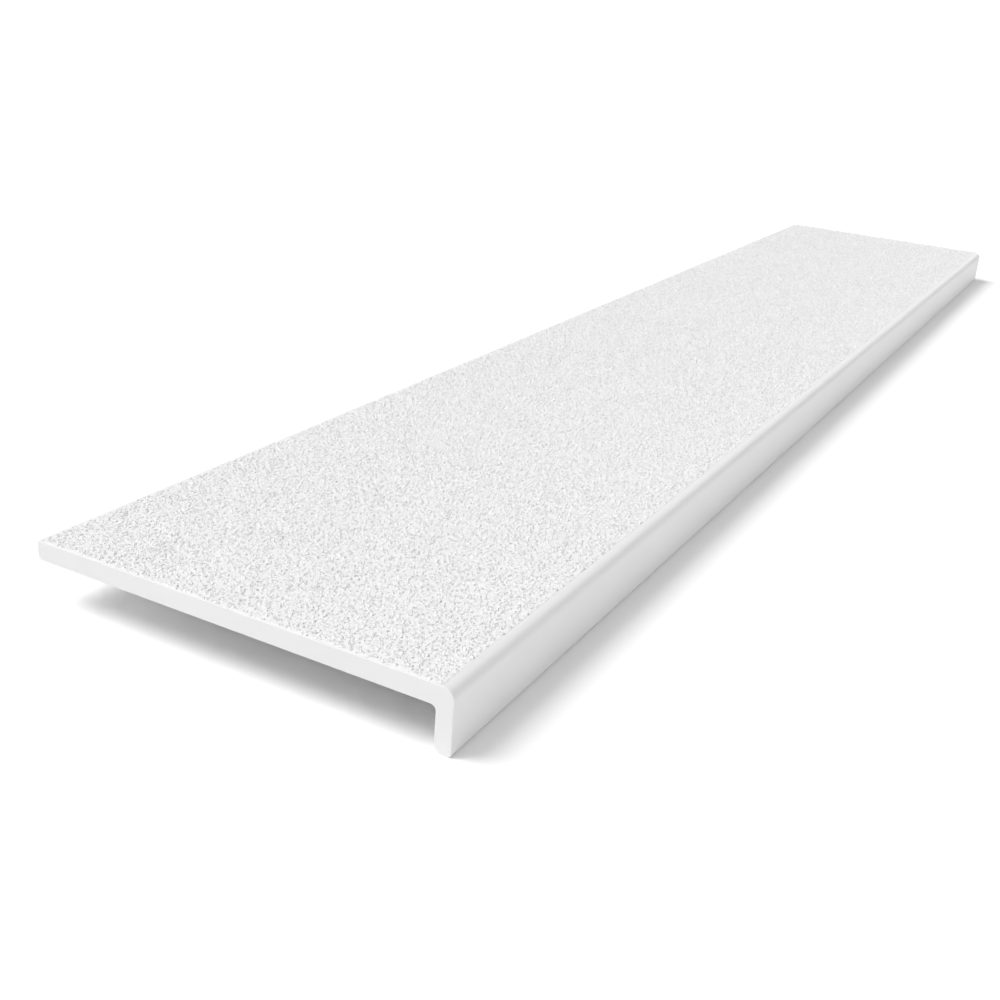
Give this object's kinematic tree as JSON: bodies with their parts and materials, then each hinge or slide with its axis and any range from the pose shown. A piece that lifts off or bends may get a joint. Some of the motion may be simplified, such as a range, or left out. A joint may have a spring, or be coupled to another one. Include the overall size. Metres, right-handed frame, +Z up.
{
  "type": "anti-slip tread board",
  "caption": "Long white board with a gritty anti-slip deck and a drop nose, for a step, ledge or pool edge, built as a bonded laminate-and-timber sandwich.",
  "frame": {"origin": "on the deck's flat underside, at the middle of the board's length and depth", "axes": "+X along the board's length, -Y towards the nose and its leg, +Y towards the rear edge, +Z up out of the gritty walking surface"},
  "size_m": [1.8, 0.345, 0.0495],
  "materials": {
    "gelcoat": "satin moulded",
    "laminate": "hand-laid, faintly woven",
    "resin_filler": "matt",
    "core_timber": "planed",
    "binder_coat": "satin",
    "grit": "matt, coarse"
  },
  "bodies": {
    "root": {"outer_tray": "gelcoat", "under_liner": "laminate", "corner_cove": "resin_filler", "nose_rail": "core_timber", "leg_rail": "core_timber", "rear_rail": "core_timber", "left_end_rail": "core_timber", "right_end_rail": "core_timber", "core_strip_1": "core_timber", "core_strip_2": "core_timber", "core_strip_3": "core_timber", "core_strip_4": "core_timber", "core_strip_5": "core_timber", "core_strip_6": "core_timber", "grit_binder": "binder_coat", "grit_layer": "grit"}
  },
  "joints": []
}
